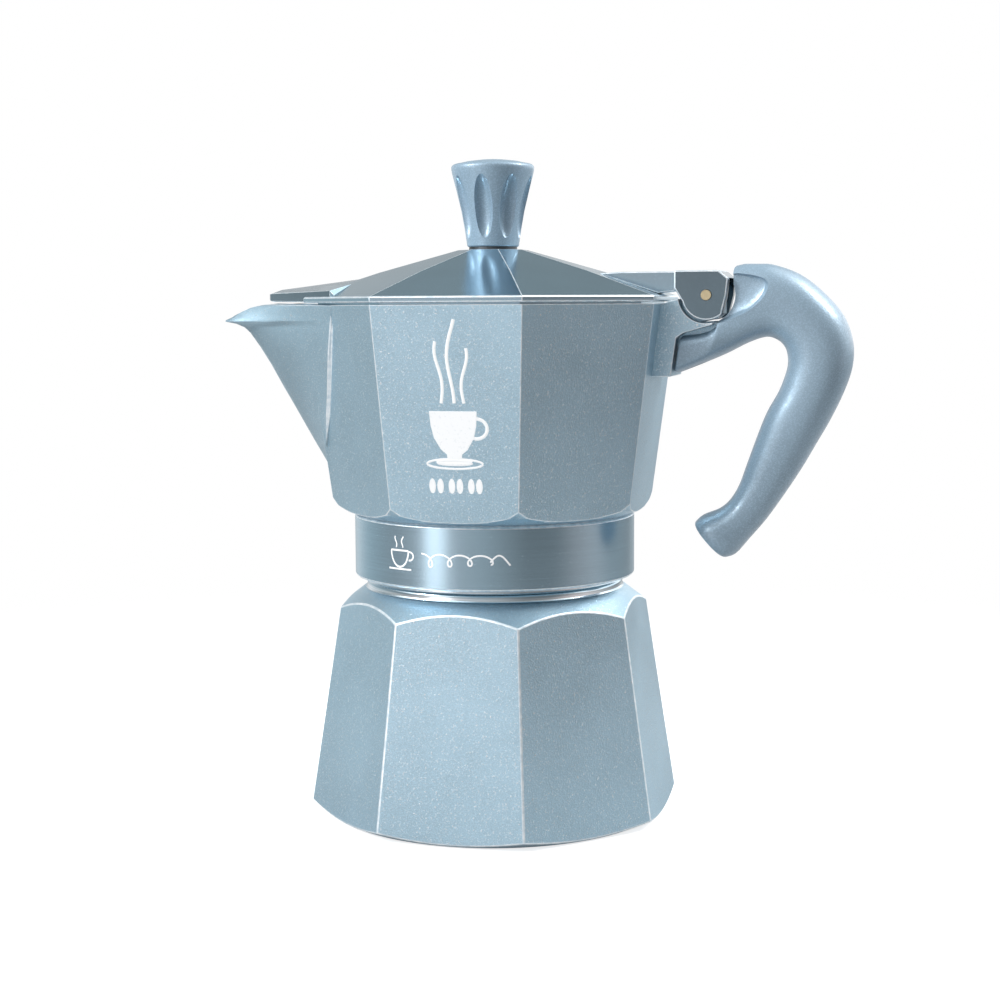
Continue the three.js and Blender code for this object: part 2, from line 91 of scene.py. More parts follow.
def cut_flats(bm, low, high, wall=0.0):
    """Slices eight leaning flats onto a solid; low and high are (corner radius, height)."""
    slope = (high[0] - low[0]) * FLAT / (high[1] - low[1])
    lean = math.atan(slope)
    reach = (low[0] - wall) * FLAT
    for k in range(FACES):
        angle = 2 * math.pi * k / FACES
        out = Vector((math.cos(angle), math.sin(angle), 0))
        normal = out * math.cos(lean) + Vector((0, 0, -math.sin(lean)))
        point = (out * reach + Vector((0, 0, low[1]))) * MM
        geom = bm.verts[:] + bm.edges[:] + bm.faces[:]
        sliced = bmesh.ops.bisect_plane(bm, geom=geom, dist=1e-7, plane_co=point, plane_no=normal,
                                        clear_outer=True)
        rim = [e for e in sliced["geom_cut"] if isinstance(e, bmesh.types.BMEdge)]
        bmesh.ops.contextual_create(bm, geom=rim)
    bmesh.ops.remove_doubles(bm, verts=bm.verts, dist=2e-6)
    return outward(bm)


def prism(outline, low, high, axis="Y"):
    """An outline of (x, z) points, or (x, y) ones for axis Z, made thick along the axis."""
    bm = bmesh.new()
    if axis == "Y":
        corners = [(u * MM, low * MM, v * MM) for u, v in outline]
        reach = (0, (high - low) * MM, 0)
    else:
        corners = [(u * MM, v * MM, low * MM) for u, v in outline]
        reach = (0, 0, (high - low) * MM)
    face = bm.faces.new([bm.verts.new(c) for c in corners])
    grown = bmesh.ops.extrude_face_region(bm, geom=[face])
    moved = [v for v in grown["geom"] if isinstance(v, bmesh.types.BMVert)]
    bmesh.ops.translate(bm, verts=moved, vec=reach)
    return outward(bm)


def rod(axis, r, low, high, at=(0, 0), steps=48):
    """A cylinder along X, Y or Z, from one end to the other, in millimetres."""
    bm = bmesh.new()
    bmesh.ops.create_cone(bm, cap_ends=True, segments=steps, radius1=r * MM, radius2=r * MM,
                          depth=(high - low) * MM)
    middle = (low + high) / 2
    turns = {"X": Matrix.Rotation(math.pi / 2, 3, "Y"), "Y": Matrix.Rotation(math.pi / 2, 3, "X"),
             "Z": Matrix.Identity(3)}
    places = {"X": (middle, at[0], at[1]), "Y": (at[0], middle, at[1]), "Z": (at[0], at[1], middle)}
    bmesh.ops.rotate(bm, verts=bm.verts, cent=(0, 0, 0), matrix=turns[axis])
    bmesh.ops.translate(bm, verts=bm.verts, vec=Vector(places[axis]) * MM)
    return bm


def hull(points):
    """The convex solid round (x, y, z) points, each mirrored across the XZ plane."""
    bm = bmesh.new()
    for x, y, z in points:
        for side in {y, -y}:
            bm.verts.new((x * MM, side * MM, z * MM))
    made = bmesh.ops.convex_hull(bm, input=bm.verts)
    bmesh.ops.delete(bm, geom=made["geom_interior"], context="VERTS")
    bmesh.ops.dissolve_limit(bm, angle_limit=0.01, verts=bm.verts, edges=bm.edges)
    return outward(bm)


def lofted(loops):
    """A closed solid through rings of points, in millimetres, with equal counts."""
    bm = bmesh.new()
    rings = []
    for loop in loops:
        verts = [bm.verts.new(Vector(p) * MM) for p in loop]
        rings.append([bm.edges.new(pair) for pair in zip(verts, verts[1:] + verts[:1])])
    for near, far in zip(rings, rings[1:]):
        bmesh.ops.bridge_loops(bm, edges=near + far)
    for ring in (rings[0], rings[-1]):
        bmesh.ops.contextual_create(bm, geom=ring)
    return outward(bm)


def softened(bm, width=0.3, segments=2, least=25.0, left_sharp=lambda edge: False):
    """Rounds every edge sharper than the least angle, in degrees, but for those to be left sharp."""
    sharp = [e for e in bm.edges if len(e.link_faces) == 2
             and e.calc_face_angle(0) > math.radians(least) and not left_sharp(e)]
    bmesh.ops.bevel(bm, geom=sharp, offset=width * MM, segments=segments, profile=0.5,
                    affect="EDGES", clamp_overlap=True, material=-1)
    bmesh.ops.remove_doubles(bm, verts=bm.verts, dist=1e-6)
    return bm


def soften_seam(bm, least, across, rise, width=0.16):
    """Breaks the sharp edges inside a span of x and of z, once their short steps are merged."""
    def sharp_edges():
        found = []
        for edge in bm.edges:
            middle = (edge.verts[0].co + edge.verts[1].co) / (2 * MM)
            if len(edge.link_faces) == 2 and edge.calc_face_angle(0) > math.radians(least) \
                    and across[0] < middle.x < across[1] and rise[0] < middle.z < rise[1]:
                found.append(edge)
        return found

    corners = list({vert for edge in sharp_edges() for vert in edge.verts})
    bmesh.ops.remove_doubles(bm, verts=corners, dist=0.5 * MM)
    bmesh.ops.bevel(bm, geom=sharp_edges(), offset=width * MM, segments=1, profile=0.5, affect="EDGES",
                    clamp_overlap=False, material=-1)
    outward(bm)


def carry(bm, name):
    """Puts a bmesh in a new object."""
    mesh = bpy.data.meshes.new(name)
    bm.to_mesh(mesh)
    bm.free()
    piece = bpy.data.objects.new(name, mesh)
    bpy.context.scene.collection.objects.link(piece)
    return piece


def join(*tools):
    return [("UNION", tool) for tool in tools]


def cut(*tools):
    return [("DIFFERENCE", tool) for tool in tools]


def combined(base, *steps):
    """Joins solids to a base solid or cuts them from it, in the order of the steps."""
    body = carry(base, "work")
    for how, tool_bm in steps:
        tool = carry(tool_bm, "tool")
        modifier = body.modifiers.new("combine", "BOOLEAN")
        modifier.operation = how
        modifier.solver = "EXACT"
        modifier.object = tool
        bpy.context.view_layer.update()
        graph = bpy.context.evaluated_depsgraph_get()
        result = bpy.data.meshes.new_from_object(body.evaluated_get(graph))
        body.modifiers.clear()
        old = body.data
        body.data = result
        bpy.data.meshes.remove(old)
        bpy.data.objects.remove(tool)
    bm = bmesh.new()
    bm.from_mesh(body.data)
    bpy.data.objects.remove(body)
    bmesh.ops.remove_doubles(bm, verts=bm.verts, dist=1e-6)
    bmesh.ops.dissolve_degenerate(bm, edges=bm.edges, dist=1e-6)
    return bm


def mark_edges(piece, material, narrow=0.34):
    """Gives the narrow strips along rounded edges a painted highlight of their own."""
    piece.data.materials.append(material)
    index = len(piece.data.materials) - 1
    bm = bmesh.new()
    bm.from_mesh(piece.data)
    for face in bm.faces:
        if face.calc_area() < narrow * MM * max(edge.calc_length() for edge in face.edges):
            face.material_index = index
    bm.to_mesh(piece.data)
    bm.free()


def finished(bm, name, body, material, replaces=(), flat_angle=35.0):
    """Names a piece, shades it, gives it its material, puts it under its body and hides the CAD nodes it
    replaces.
    """
    for face in bm.faces:
        face.smooth = True
    for edge in bm.edges:
        edge.smooth = len(edge.link_faces) == 2 and edge.calc_face_angle(0) < math.radians(flat_angle)
    piece = carry(bm, name)
    piece.data.materials.clear()
    piece.data.materials.append(material)
    weighted = piece.modifiers.new("even_shading", "WEIGHTED_NORMAL")
    weighted.keep_sharp = True
    weighted.weight = 90
    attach(piece, body)
    if replaces:
        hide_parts(*replaces)
    return piece


# ---- Shader tools --------------------------------------------------------------------------------

class Signal:
    """A node socket that Python arithmetic can be written on."""

    def __init__(self, shader, socket):
        self.shader = shader
        self.socket = socket

    def math(self, operation, *values):
        return self.shader.node("ShaderNodeMath", {"operation": operation}, dict(enumerate(values)))

    def __add__(self, other):
        return self.math("ADD", self, other)

    def __sub__(self, other):
        return self.math("SUBTRACT", self, other)

    def __rsub__(self, other):
        return self.math("SUBTRACT", other, self)

    def __mul__(self, other):
        return self.math("MULTIPLY", self, other)

    __radd__ = __add__
    __rmul__ = __mul__

    def ramp(self, low, high):
        """0 below low, 1 above high, and smooth between."""
        return self.shader.node("ShaderNodeMapRange", {"interpolation_type": "SMOOTHSTEP"},
                                {"Value": self, "From Min": low, "From Max": high})


class Shader:
    """A new material's node tree."""

    def __init__(self, name, owner=None):
        self.owner = owner or bpy.data.materials.new(name)
        self.owner.use_nodes = True
        self.tree = self.owner.node_tree
        self.tree.nodes.clear()

    def node(self, kind, settings=None, inputs=None, output=0):
        """Adds a node, sets it up, feeds its sockets, and gives back one output."""
        made = self.tree.nodes.new(kind)
        for key, value in (settings or {}).items():
            if key == "stops":
                for stop, (place, colour) in zip(self.stops_for(made, value), value):
                    stop.position, stop.color = place, colour
            else:
                setattr(made, key, value)
        for key, value in (inputs or {}).items():
            if isinstance(value, Signal):
                self.tree.links.new(value.socket, made.inputs[key])
            else:
                made.inputs[key].default_value = value
        return Signal(self, made.outputs[output]) if made.outputs else None

    @staticmethod
    def stops_for(made, stops):
        elements = made.color_ramp.elements
        while len(elements) < len(stops):
            elements.new(1.0)
        return elements

    def place(self, scale=(1, 1, 1)):
        """Object coordinates in metres, stretched by scale."""
        coordinates = self.node("ShaderNodeTexCoord", output="Object")
        return self.node("ShaderNodeMapping", inputs={"Vector": coordinates, "Scale": scale})

    def noise(self, scale, detail=3.0, rough=0.55, stretch=(1, 1, 1)):
        return self.node("ShaderNodeTexNoise", inputs={
            "Vector": self.place(stretch), "Scale": scale, "Detail": detail, "Roughness": rough})

    def blend(self, mask, first, second):
        """Colour first where the mask is 0 and second where it is 1."""
        return self.node("ShaderNodeMix", {"data_type": "RGBA"},
                         {"Factor": mask, 6: first, 7: second}, output=2)

    def bump(self, height, distance, strength=1.0):
        return self.node("ShaderNodeBump", inputs={
            "Height": height, "Distance": distance, "Strength": strength})

    def close(self, constants, links):
        """Ends the tree with a Principled shader."""
        surface = self.node("ShaderNodeBsdfPrincipled", inputs={**constants, **links})
        self.node("ShaderNodeOutputMaterial", inputs={"Surface": surface})
        return self.owner


def shade(colour, factor):
    """A colour made darker or lighter, with alpha."""
    return (*(c * factor for c in colour), 1.0)


# ---- Settings ------------------------------------------------------------------------------------

class MokaFinish(bpy.types.PropertyGroup):
    """Colours and gloss that a user would change."""

    tint: bpy.props.FloatVectorProperty(
        name="Tint", description="Colour of the tinted aluminium", subtype="COLOR",
        default=(0.40, 0.57, 0.68), min=0, max=1)
    plastic: bpy.props.FloatVectorProperty(
        name="Plastic", description="Colour of the handle and knob", subtype="COLOR",
        default=(0.245, 0.345, 0.43), min=0, max=1)
    cast_roughness: bpy.props.FloatProperty(
        name="Cast Roughness", description="Roughness of the blasted faces", default=0.33, min=0, max=1,
        subtype="FACTOR")
    polish_roughness: bpy.props.FloatProperty(
        name="Lid Roughness", description="Roughness of the polished lid", default=0.13, min=0, max=1,
        subtype="FACTOR")


class MokaSizes(bpy.types.PropertyGroup):
    """Fine sizes that the CAD frame leaves open."""

    edge: bpy.props.FloatProperty(
        name="Edge Round", description="Rounding of the cast edges, in millimetres", default=0.35,
        min=0.05, max=1.0)
    thread_pitch: bpy.props.FloatProperty(
        name="Thread Pitch", description="Rise of the neck's thread in one turn, in millimetres",
        default=2.2, min=1.0, max=4.0)


# ---- Materials -----------------------------------------------------------------------------------

def cast_metal(finish):
    """Blasted, tinted aluminium: fine grain, sparse near-white specks painted as glints, and faint cloudy
    stains.
    """
    shader = Shader("cast_metal")
    cloud = shader.noise(26, 4, 0.6)
    grain = shader.noise(2300, 2, 0.8)
    fine = shader.noise(4200, 1, 0.5)
    stain = shader.noise(190, 5, 0.62).ramp(0.54, 0.74)
    tint = finish.tint
    base = shader.blend(cloud.ramp(0.35, 0.7), shade(tint, 0.94), shade(tint, 1.05))
    base = shader.blend(stain * 0.3, base, shade(tint, 0.84))
    base = shader.blend(fine.ramp(0.45, 0.62) * 0.55, base, shade(tint, 1.25))
    # painted glints: sparse near-white specks in the colour stand in for sparkle off the grain
    glint = grain.ramp(0.57, 0.7)
    base = shader.blend(glint * 0.85, base, (0.9, 0.96, 1.0, 1.0))
    rough = finish.cast_roughness + cloud * 0.08 - glint * 0.12
    relief = shader.bump(grain + fine * 0.6 + stain * 0.3, 0.00007, 0.8)
    return shader.close({"Metallic": 0.93}, {"Base Color": base, "Roughness": rough, "Normal": relief})


def polished_metal(finish, name="polished_metal", depth=1.0):
    """The lid: smooth and clear, with a faint even haze of fine pits; a depth below 1 darkens it into a
    painted-shade copy.
    """
    shader = Shader(name)
    pits = shader.noise(1800, 3, 0.6)
    cloud = shader.noise(30, 3, 0.5)
    tint = finish.tint
    base = shader.blend(cloud.ramp(0.3, 0.7), shade(tint, 0.92 * depth), shade(tint, 1.02 * depth))
    base = shader.blend(pits.ramp(0.5, 0.75) * 0.4, base, shade(tint, 1.18 * depth))
    rough = finish.polish_roughness + pits * 0.08
    return shader.close({"Metallic": 0.97}, {
        "Base Color": base, "Roughness": rough, "Normal": shader.bump(pits, 0.00001, 0.12)})


def painted_edge_highlight():
    """Painted highlight: pale, mottled colour on the narrow strips along rounded edges, where light catches
    them.
    """
    shader = Shader("painted_edge_highlight")
    highlight_mottle = shader.noise(700, 3, 0.6)
    # painted highlight along the edges, mottled by noise
    base = shader.blend(highlight_mottle.ramp(0.3, 0.7), (0.62, 0.74, 0.82, 1), (0.86, 0.92, 0.96, 1))
    return shader.close({"Metallic": 0.75}, {"Base Color": base, "Roughness": 0.3 + highlight_mottle * 0.15})


def turned_ring(finish):
    """The neck, cut on a lathe: bright close rings with little tint."""
    shader = Shader("turned_ring")
    rings = shader.noise(1500, 2, 0.6, stretch=(0.02, 0.02, 1))
    tone = shader.noise(90, 2, 0.5)
    base = shader.blend(rings.ramp(0.35, 0.65), shade(finish.tint, 0.9), (0.78, 0.86, 0.91, 1))
    return shader.close({"Metallic": 1.0}, {
        "Base Color": base, "Roughness": 0.16 + tone * 0.08, "Normal": shader.bump(rings, 0.00001, 0.3)})


def brushed_ring(finish):
    """The collar: very fine lines that run round it, so light gathers in upright bands."""
    shader = Shader("brushed_ring")
    lines = shader.noise(900, 3, 0.7, stretch=(0.03, 0.03, 8))
    speck = shader.noise(2600, 2, 0.6)
    tint = finish.tint
    base = shader.blend(lines.ramp(0.25, 0.75), shade(tint, 0.95), shade(tint, 1.06))
    base = shader.blend(speck.ramp(0.55, 0.75) * 0.35, base, shade(tint, 1.3))
    rough = 0.2 + lines * 0.06 + speck * 0.05
    return shader.close({"Metallic": 1.0}, {
        "Base Color": base, "Roughness": rough, "Normal": shader.bump(speck + lines * 0.5, 0.00001, 0.3)})


def flake_plastic(finish):
    """Pearl plastic: tiny metallic flakes under a clear gloss."""
    shader = Shader("flake_plastic")
    cells = shader.node("ShaderNodeTexVoronoi", {"feature": "F1"},
                        {"Vector": shader.place(), "Scale": 4200.0}, output="Color")
    flake = shader.node("ShaderNodeSeparateColor", inputs={0: cells}, output=0)
    tone = shader.noise(60, 2, 0.5)
    plastic = finish.plastic
    base = shader.blend(tone.ramp(0.3, 0.7), shade(plastic, 0.96), shade(plastic, 1.04))
    base = shader.blend(flake.ramp(0.35, 1.0) * 0.5, base, shade(plastic, 1.5))
    metal_share = 0.12 + flake * 0.25
    rough = 0.46 - flake * 0.12
    return shader.close({"Coat Weight": 0.25, "Coat Roughness": 0.2}, {
        "Base Color": base, "Metallic": metal_share, "Roughness": rough,
        "Normal": shader.bump(flake, 0.00002, 0.35)})


def plain_metal(name, colour, rough, lines=500.0, stretch=(1, 1, 1)):
    """Turned or pressed bare metal with fine tool marks."""
    shader = Shader(name)
    marks = shader.noise(lines, 3, 0.6, stretch=stretch)
    base = shader.blend(marks.ramp(0.3, 0.75), shade(colour, 0.86), shade(colour, 1.0))
    return shader.close({"Metallic": 1.0}, {
        "Base Color": base, "Roughness": rough + marks * 0.12,
        "Normal": shader.bump(marks, 0.00001, 0.3)})


def soft_rubber():
    shader = Shader("soft_rubber")
    speck = shader.noise(900, 3, 0.6)
    base = shader.blend(speck.ramp(0.4, 0.7), (0.78, 0.76, 0.70, 1), (0.86, 0.85, 0.80, 1))
    return shader.close({"Metallic": 0.0}, {
        "Base Color": base, "Roughness": 0.55 + speck * 0.2, "Normal": shader.bump(speck, 0.00002, 0.4)})


def white_print():
    shader = Shader("white_print")
    wear = shader.noise(1500, 2, 0.6)
    base = shader.blend(wear.ramp(0.55, 0.8), (0.86, 0.89, 0.91, 1), (0.74, 0.79, 0.82, 1))
    return shader.close({"Metallic": 0.0}, {"Base Color": base, "Roughness": 0.42 + wear * 0.15})


def metal(name):
    """The material made earlier under this name."""
    return bpy.data.materials[name]


def dress(node, material):
    """Gives a CAD node's object a finish; its mesh and place stay as they are."""
    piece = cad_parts[node]
    piece.data.materials.clear()
    piece.data.materials.append(material)


# ---- Shapes of the pot ---------------------------------------------------------------------------

def boiler_solid(sizes):
    outside = cut_flats(spun([
        (0, 0.35), (30, 0.35), (30.6, 0), (41.4, 0), (52, 5), (52, 40.4), (31.85, 55.7),
        (31.75, 56.1), (31.75, 57.1), (31.3, 57.6), (31.3, 65.3), (30.7, 66), (0, 66),
    ]), BOILER_LOW, BOILER_HIGH)
    softened(outside, sizes.edge)
    room = cut_flats(spun([
        (0, 3), (37, 3), (40, 4.2), (42, 7), (44, 10), (44, 38), (36.6, 48.2), (29.2, 53.9), (28.5, 54.8),
        (28.5, 65.5), (29, 67), (0, 67),
    ]), BOILER_LOW, BOILER_HIGH, BOILER_WALL)
    boss = softened(rod("Y", 7.2, 34.5, BOSS_Y, (0, VALVE_Z), 64), 0.4)
    hole = rod("Y", 4.1, 20, 50, (0, VALVE_Z))
    return combined(outside, *join(boss), *cut(room, hole))


def helix_ridge(r_root, r_crest, low, turns, pitch):
    """A thread's ridge: a small trapezoid spun and lifted at once."""
    bm = bmesh.new()
    half = pitch * 0.36
    top = pitch * 0.1
    section = [(r_root, -half), (r_crest, -top), (r_crest, top), (r_root, half)]
    verts = [bm.verts.new((r * MM, 0, (low + dz) * MM)) for r, dz in section]
    face = bm.faces.new(verts)
    per_turn = 96
    steps = int(turns * per_turn)
    bmesh.ops.spin(bm, geom=[face], cent=(0, 0, 0), axis=(0, 0, 1), angle=2 * math.pi * turns,
                   steps=steps, dvec=(0, 0, pitch * MM / per_turn))
    return outward(bm)


def spout_section(z, ridge_x, root, round_r, hollow=1.0, drop=0.0, steps=9):
    """Half-open V at one height: a rounded ridge, sides that may be hollow, roots inside the cup."""
    root_x, root_y = root
    reach = math.hypot(root_y, round_r) - round_r
    right = []
    for i in range(steps + 1):
        y = root_y * (i / steps) ** 1.5
        share = ((math.hypot(y, round_r) - round_r) / reach) ** (1 / hollow)
        right.append((ridge_x + (root_x - ridge_x) * share, y, z - drop * share))
    right.append((-24, root_y * 0.8, z - drop))
    left = [(x, -y, high) for x, y, high in right[:0:-1]]
    return right + left


def spout_solid():
    """The spout in level slices, from where it leaves the cup, out along the lip and back to the rim."""
    return lofted([
        spout_section(75.8, -36.6, (-35.6, 2.2), 0.9),
        spout_section(79.0, -39.6, (-36.4, 6.2), 1.4),
        spout_section(85.7, -43.8, (-37.6, 12.6), 2.0),
        spout_section(91.0, -47.0, (-37.8, 17.2), 2.4),
        spout_section(97.8, -51.1, (-36.6, 20.4), 2.8),
        spout_section(104.0, -54.9, (-35.4, 22.8), 3.0),
        spout_section(110.0, -58.4, (-34.4, 25.0), 3.0, 1.02),
        spout_section(114.5, -61.4, (-33.6, 26.5), 2.7, 1.05),
        spout_section(118.0, -64.2, (-32.9, 27.6), 2.0, 1.1),
        spout_section(119.3, -65.7, (-32.6, 28.0), 1.6, 1.18),
        spout_section(120.2, -67.9, (-32.5, 28.2), 1.2, 1.26),
        spout_section(120.75, -70.9, (-32.4, 28.3), 0.9, 1.32),
        spout_section(121.15, -70.9, (-32.3, 28.4), 0.9, 1.32),
        spout_section(121.9, -69.1, (-32.2, 28.5), 1.1, 1.27),
        spout_section(123.1, -67.2, (-32.1, 28.7), 1.3, 1.22, 0.1),
        spout_section(124.4, -65.3, (-32.0, 28.9), 1.6, 1.16, 0.3),
        spout_section(125.0, -63.3, (-31.9, 29.1), 2.0, 1.1, 0.45),
        spout_section(125.25, -62.2, (-31.9, 29.1), 2.3, 1.08, 0.6),
        spout_section(125.5, -60.9, (-31.6, 28.8), 2.4, 1.06, 0.7),
    ])


def channel_solid():
    """The hollow of the spout, which opens along the lip as a pouring groove."""
    return lofted([
        spout_section(84.0, -37.0, (-33.5, 3.0), 0.8),
        spout_section(92.0, -44.6, (-34.8, 12.0), 1.2),
        spout_section(104.0, -51.8, (-33.6, 19.6), 1.8),
        spout_section(115.0, -58.6, (-31.9, 23.6), 2.0, 1.04),
        spout_section(119.6, -61.6, (-31.2, 25.2), 1.6, 1.1),
        spout_section(121.2, -65.0, (-30.8, 26.0), 0.9, 1.25),
        spout_section(122.2, -68.2, (-30.5, 26.3), 0.5, 1.32),
        spout_section(124.0, -67.5, (-30.3, 26.5), 0.6, 1.26),
        spout_section(127.0, -64.0, (-30.0, 26.8), 1.2, 1.08),
    ])


def pin_bore():
    return rod("Y", 1.3, -12, 12, PIN)


def arc(centre, r, start, end, steps=16):
    """Points on an arc in degrees, in millimetres."""
    angles = [math.radians(start + (end - start) * i / steps) for i in range(steps + 1)]
    return [(centre[0] + r * math.cos(a), centre[1] + r * math.sin(a)) for a in angles]


def under_spout(edge):
    """True for the cup's long corners that the spout covers."""
    return edge.verts[0].co.x < -36 * MM and edge.calc_length() > 20 * MM


def collector_solid(sizes):
    outside = cut_flats(spun([
        (0, 58.6), (34.2, 58.6), (34.65, 59.05), (34.65, 73.4), (34.25, 73.8), (33.9, 73.85),
        (34.1, 74.0), (37, 74.9), (38.9, 76.1), (40.2, 78), (40.9, 80.6), (70, 95), (70, RIM_Z), (0, RIM_Z),
    ]), CUP_LOW, CUP_HIGH)
    softened(outside, sizes.edge, left_sharp=under_spout)
    outside = combined(outside, *join(spout_solid()))
    soften_seam(outside, 20, (-38.5, -31), (88, 124.4), 0.2)
    pad = prism([(39, 107.5), (45.3, 107.5), (46.6, 116.7), (48.2, 117.8), (55.2, 119.8)]
                + arc(PIN, 6.6, -75.9, -173, 24)
                + [(44.4, 125.2), (42.6, 124.3), (39, 124.3)], -EAR_OUT, EAR_OUT)
    softened(pad, 0.35, 2, 40)
    web = prism([(47, 119.4), (55.4, 121.2), (56.9, 122.4), (57, 126), (50.2, 126), (46.8, 124.3)],
                -4.5, 4.5)
    knuckle = softened(rod("Y", 3.6, -4.5, 4.5, PIN, 64), 0.3)
    tenon = prism([(44, 114.6), (57.4, 114.6), (57.4, 119), (55, 120.6), (44, 120)], -4, 4)
    room = cut_flats(spun([
        (0, 77), (33.2, 77), (35, 78), (37, 80), (39, 83), (60, 100), (60, 126), (0, 126)]),
        CUP_LOW, CUP_HIGH, CUP_WALL)
    underside = spun([
        (0, 57), (33.3, 57), (32.6, 59.4), (32.6, 70.1), (28, 70.1), (28, 71.1), (25.6, 71.1),
        (9.5, 73.6), (0, 73.6)])
    boss = softened(spun([(0, 76), (10.2, 76), (10.2, 78.2), (0, 78.2)], 72), 0.5)
    whole = combined(
        outside, *join(pad, web, knuckle, tenon), *cut(room, channel_solid(), underside), *join(boss),
        *cut(rod("Z", 6.6, 73, 80), pin_bore(), rod("Z", 1.55, 110, 118.7, (50, 0))))
    soften_seam(whole, 55, (-71, -37), (121.3, 125.6), 0.18)
    return whole


def lid_solid(sizes):
    roof = softened(octagonal([
        (0, LID_LOW), (46.3, LID_LOW), (46.5, 125.5), (46.5, 126.5), (46.2, 126.75), (28, 132.6),
        (8.6, LID_TOP), (0, LID_TOP)]), 0.2, 2, 8)
    hollow = octagonal([(0, 124), (43.2, 124), (43.2, 125.7), (28, 130.5), (13, 134.6), (0, 134.6)])
    skirt = octagonal([(42.0, 123.9), (43.0, 123.9), (43.0, 126.4), (42.0, 126.4)])
    cover = softened(hull([
        (-58.2, 0.8, 126.3), (-58.2, 0.8, 127.5), (-57.9, 1.9, 126.1), (-57.9, 1.9, 127.6),
        (-57.2, 2.9, 125.9), (-57.2, 2.9, 127.7), (-56, 4.0, 125.7), (-56, 4.0, 127.8),
        (-55.4, 0, 128.7), (-32.6, 27.6, 125.5), (-32.8, 27.2, 128.2), (-34.8, 0, 131.1),
        (-30, 12, 130.6), (-28, 0, 132), (-28, 12, 126.3), (-30, 27, 125.4)]), 0.25, 2, 20)
    cover_room = hull([
        (-54.6, 1, 125), (-54.6, 1, 126.6), (-53, 3, 125), (-53, 2.4, 126.6),
        (-36, 20, 125), (-36, 19, 127.2), (-29, 7, 129.6), (-29, 0, 129.9), (-27, 18, 125)])
    tongue = softened(prism([(26, 132), (33, 132.35), (45.7, 132.35), (45.7, 127.7), (41.6, 127.2),
                             (30, 131)], -4.3, 4.3), 0.3)
    ear = ([(46, 132.5), (46, 128.4)] + arc(PIN, 5.85, 194.8, 307.7, 24)
           + [(58.3, 126.7), (58.7, 130.6), (56.4, 132.5)])
    ears = softened(prism(ear, -EAR_OUT, EAR_OUT), sizes.edge, 2, 30)
    between_ears = prism([(40, 118), (62, 118), (62, 130.7), (45.4, 130.7), (45.4, 127), (40, 127)],
                         -EAR_IN, EAR_IN)
    bridge = prism([(44, 131.6), (47.5, 131.6), (47.5, 128.4), (44, 128.4)], -3.9, 3.9)
    return combined(
        roof, *join(cover), *cut(hollow, cover_room),
        *join(skirt, combined(ears, *cut(between_ears)), tongue, bridge),
        *cut(pin_bore(), rod("Z", 2.1, 130, 140)))


def knob_solid():
    crown = [(10.12 - 1.5 * (1 - math.cos(a)), 157.9 + 0.95 * math.sin(a))
             for a in (math.radians(d) for d in range(0, 91, 15))]
    body = spun([(0, 138.8), (6.1, 138.8), (6.35, 139.05), (6.9, 143), (7.7, 147.5), (8.9, 152.5),
                 (9.9, 156.4), (10.08, 157.3)] + crown + [(6.5, 159.35), (3.3, 159.75), (0, 159.9)], 128)
    flutes = bmesh.new()
    for k in range(FACES):
        scoop = bmesh.ops.create_uvsphere(flutes, u_segments=40, v_segments=28, radius=MM)
        verts = scoop["verts"]
        place = (Matrix.Rotation(2 * math.pi * k / FACES - 0.04, 4, "Z")
                 @ Matrix.Translation((9.2 * MM, 0, 148.2 * MM)) @ Matrix.Rotation(0.22, 4, "Y")
                 @ Matrix.Diagonal((3, 2.7, 8.2, 1)))
        bmesh.ops.transform(flutes, matrix=place, verts=verts)
    return combined(body, *cut(flutes, rod("Z", 2.95, 130, 152.4)))


def funnel_solid():
    """The coffee basket with its rolled corners and its stem."""
    low_corner = arc((25.9, 47.0), 2.1, -84, -4, 6)
    stem = [(4.4, 8.1), (4.4, 37.6), (4.8, 39.2), (6, 40.9), (8.6, 42.4), (13, 43.4), (25.0, 44.6)]
    wall = [(28, 48), (28, 66.1), (30.3, 66.1), (30.4, 66.3), (30.4, 66.8), (30.2, 67), (27.4, 67)]
    inside = [(27.1, 66.7), (27.1, 46.8), (24.6, 46.8), (24.6, 45.6), (13, 44.5), (8.2, 43.3),
              (6.0, 42.2), (4.4, 40.4), (3.6, 38.2), (3.6, 8.1), (4.4, 8.1)]
    return spun(stem + low_corner + wall + inside, 128)


def column_solid():
    """The tube that the coffee rises through, with a rounded top and a slot across it."""
    top = [(5.4 - 1.9 * (1 - math.cos(a)), 111.0 + 1.7 * math.sin(a))
           for a in (math.radians(d) for d in range(0, 91, 15))]
    tube = spun([(0, 73.8), (6.3, 73.8), (6.3, 78.4), (8, 78.4), (8, 79.4), (7.7, 80.4), (7.2, 82)]
                + top + [(1.6, 112.9), (0, 113)], 64)
    outlets = prism([(-9, 105), (9, 105), (9, 110), (-9, 110)], -1.6, 1.6)
    return combined(tube, *cut(rod("Z", 3.3, 70, 110.6), outlets))


HANDLE_STATIONS = (
    (47.3, 117.2, 46.0, 108.2, 7.6), (56.2, 119.8, 52.6, 110.8, 8.4), (58.6, 132.4, 57.6, 112.9, 8.9),
    (65.5, 134.0, 62.6, 115.4, 9.0), (70.4, 133.2, 67.0, 116.8, 8.9), (75.6, 130.9, 69.8, 116.0, 8.8),
    (80.6, 126.8, 71.4, 114.4, 8.7), (85.0, 121.6, 72.0, 112.6, 8.6), (87.15, 115.6, 72.1, 110.4, 8.5),
    (87.1, 109.8, 71.5, 107.8, 8.4), (85.2, 103.8, 70.0, 103.9, 8.2), (82.1, 97.2, 67.2, 98.8, 8.0),
    (78.9, 91.5, 64.8, 92.6, 7.7), (75.6, 85.7, 62.6, 86.4, 7.3), (71.9, 79.9, 60.8, 81.4, 6.9),
    (67.4, 73.4, 58.6, 77.8, 6.7), (63.4, 68.6, 56.0, 75.6, 7.2), (60.2, 64.9, 52.2, 74.0, 8.0),
    (57.6, 63.9, 50.2, 72.2, 7.2))


